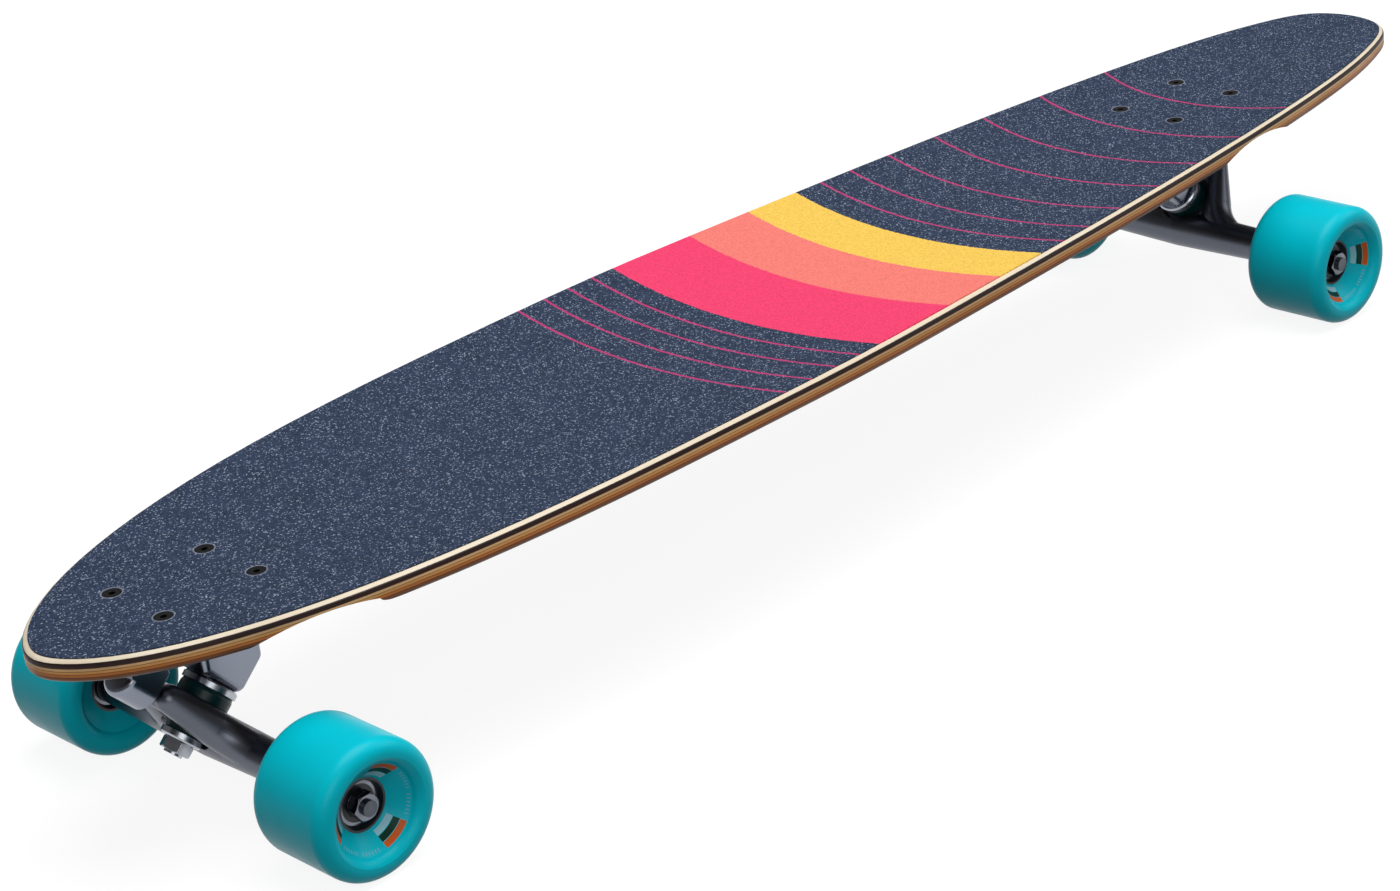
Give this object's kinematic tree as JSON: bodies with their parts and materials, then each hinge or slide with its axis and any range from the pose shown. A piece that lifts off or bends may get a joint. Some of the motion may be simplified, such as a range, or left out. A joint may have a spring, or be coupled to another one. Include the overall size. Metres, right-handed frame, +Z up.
{
  "type": "longboard skateboard",
  "caption": "Pintail longboard: concave laminated deck with grip tape on reverse-kingpin trucks that steer against bushings, with urethane wheels on ball bearings.",
  "frame": {"origin": "on the floor under the middle of the deck's length and width", "axes": "+X along the board to the nose (the end with the shorter overhang), +Y to the rider's left, +Z up"},
  "size_m": [1.016, 0.2524, 0.1213],
  "materials": {
    "grip": "abrasive sheet, matt, with printed curved bands",
    "face_wood": "clear lacquered maple",
    "dark_wood": "stained veneer",
    "core_wood": "maple end grain, lacquered",
    "bottom_wood": "lacquered maple",
    "bolt_black": "black oxide",
    "steel": "zinc plated",
    "truck_metal": "cast, dark coated, semi-gloss",
    "bushing": "cast urethane",
    "cup": "moulded",
    "urethane": "cast urethane, satin gloss",
    "core_plastic": "moulded nylon",
    "bearing_steel": "ground",
    "shield": "black rubber-coated",
    "cage": "moulded"
  },
  "bodies": {
    "deck": {"grip_tape": "grip", "deck_face_ply": "face_wood", "deck_dark_ply": "dark_wood", "deck_core_plies": "core_wood", "deck_bottom_ply": "bottom_wood", "mounting_bolts": "bolt_black", "mounting_nuts": "steel", "front_baseplate": "truck_metal", "front_pivot_cup": "cup", "front_kingpin": "steel", "front_kingpin_nut": "steel", "front_boardside_washer": "steel", "front_boardside_bushing": "bushing", "front_roadside_bushing": "bushing", "front_roadside_washer": "steel", "rear_baseplate": "truck_metal", "rear_pivot_cup": "cup", "rear_kingpin": "steel", "rear_kingpin_nut": "steel", "rear_boardside_washer": "steel", "rear_boardside_bushing": "bushing", "rear_roadside_bushing": "bushing", "rear_roadside_washer": "steel"},
    "front_truck": {"front_hanger": "truck_metal", "front_axle": "steel", "front_axle_nuts": "steel", "front_speed_washers": "steel", "front_bearing_spacers": "steel", "front_bearing_inner_races": "bearing_steel"},
    "front_left_wheel": {"front_left_tyre": "urethane", "front_left_wheel_core": "core_plastic", "front_left_bearing_outer_races": "bearing_steel", "front_left_bearing_shields": "shield"},
    "front_left_bearing_cage": {"front_left_bearing_balls": "bearing_steel", "front_left_bearing_cages": "cage"},
    "front_right_wheel": {"front_right_tyre": "urethane", "front_right_wheel_core": "core_plastic", "front_right_bearing_outer_races": "bearing_steel", "front_right_bearing_shields": "shield"},
    "front_right_bearing_cage": {"front_right_bearing_balls": "bearing_steel", "front_right_bearing_cages": "cage"},
    "rear_truck": {"rear_hanger": "truck_metal", "rear_axle": "steel", "rear_axle_nuts": "steel", "rear_speed_washers": "steel", "rear_bearing_spacers": "steel", "rear_bearing_inner_races": "bearing_steel"},
    "rear_left_wheel": {"rear_left_tyre": "urethane", "rear_left_wheel_core": "core_plastic", "rear_left_bearing_outer_races": "bearing_steel", "rear_left_bearing_shields": "shield"},
    "rear_left_bearing_cage": {"rear_left_bearing_balls": "bearing_steel", "rear_left_bearing_cages": "cage"},
    "rear_right_wheel": {"rear_right_tyre": "urethane", "rear_right_wheel_core": "core_plastic", "rear_right_bearing_outer_races": "bearing_steel", "rear_right_bearing_shields": "shield"},
    "rear_right_bearing_cage": {"rear_right_bearing_balls": "bearing_steel", "rear_right_bearing_cages": "cage"}
  },
  "joints": [
    {"name": "front_truck_steer", "type": "hinge", "parent": "deck", "child": "front_truck", "pos_m": [0.41957, 0, 0.03701], "axis": [0.6691, 0, 0.7431], "range_deg": [-18, 18], "stiffness_Nm_per_rad": 60, "deforming": ["front_boardside_bushing", "front_roadside_bushing"]},
    {"name": "front_left_wheel_spin", "type": "hinge", "parent": "front_truck", "child": "front_left_wheel", "pos_m": [0.4218, 0, 0.035], "axis": [0, 1, 0], "continuous": true},
    {"name": "front_left_bearing_cage_spin", "type": "hinge", "parent": "front_truck", "child": "front_left_bearing_cage", "pos_m": [0.4218, 0, 0.035], "axis": [0, 1, 0], "continuous": true},
    {"name": "front_right_wheel_spin", "type": "hinge", "parent": "front_truck", "child": "front_right_wheel", "pos_m": [0.4218, 0, 0.035], "axis": [0, 1, 0], "continuous": true},
    {"name": "front_right_bearing_cage_spin", "type": "hinge", "parent": "front_truck", "child": "front_right_bearing_cage", "pos_m": [0.4218, 0, 0.035], "axis": [0, 1, 0], "continuous": true},
    {"name": "rear_truck_steer", "type": "hinge", "parent": "deck", "child": "rear_truck", "pos_m": [-0.32137, 0, 0.03701], "axis": [-0.6691, 0, 0.7431], "range_deg": [-18, 18], "stiffness_Nm_per_rad": 60, "deforming": ["rear_boardside_bushing", "rear_roadside_bushing"]},
    {"name": "rear_left_wheel_spin", "type": "hinge", "parent": "rear_truck", "child": "rear_left_wheel", "pos_m": [-0.3236, 0, 0.035], "axis": [0, 1, 0], "continuous": true},
    {"name": "rear_left_bearing_cage_spin", "type": "hinge", "parent": "rear_truck", "child": "rear_left_bearing_cage", "pos_m": [-0.3236, 0, 0.035], "axis": [0, 1, 0], "continuous": true},
    {"name": "rear_right_wheel_spin", "type": "hinge", "parent": "rear_truck", "child": "rear_right_wheel", "pos_m": [-0.3236, 0, 0.035], "axis": [0, 1, 0], "continuous": true},
    {"name": "rear_right_bearing_cage_spin", "type": "hinge", "parent": "rear_truck", "child": "rear_right_bearing_cage", "pos_m": [-0.3236, 0, 0.035], "axis": [0, 1, 0], "continuous": true}
  ],
  "couplings": [
    {"joint": "front_left_bearing_cage_spin", "follows": "front_left_wheel_spin", "ratio": 0.632},
    {"joint": "front_right_bearing_cage_spin", "follows": "front_right_wheel_spin", "ratio": 0.632},
    {"joint": "rear_left_bearing_cage_spin", "follows": "rear_left_wheel_spin", "ratio": 0.632},
    {"joint": "rear_right_bearing_cage_spin", "follows": "rear_right_wheel_spin", "ratio": 0.632}
  ]
}
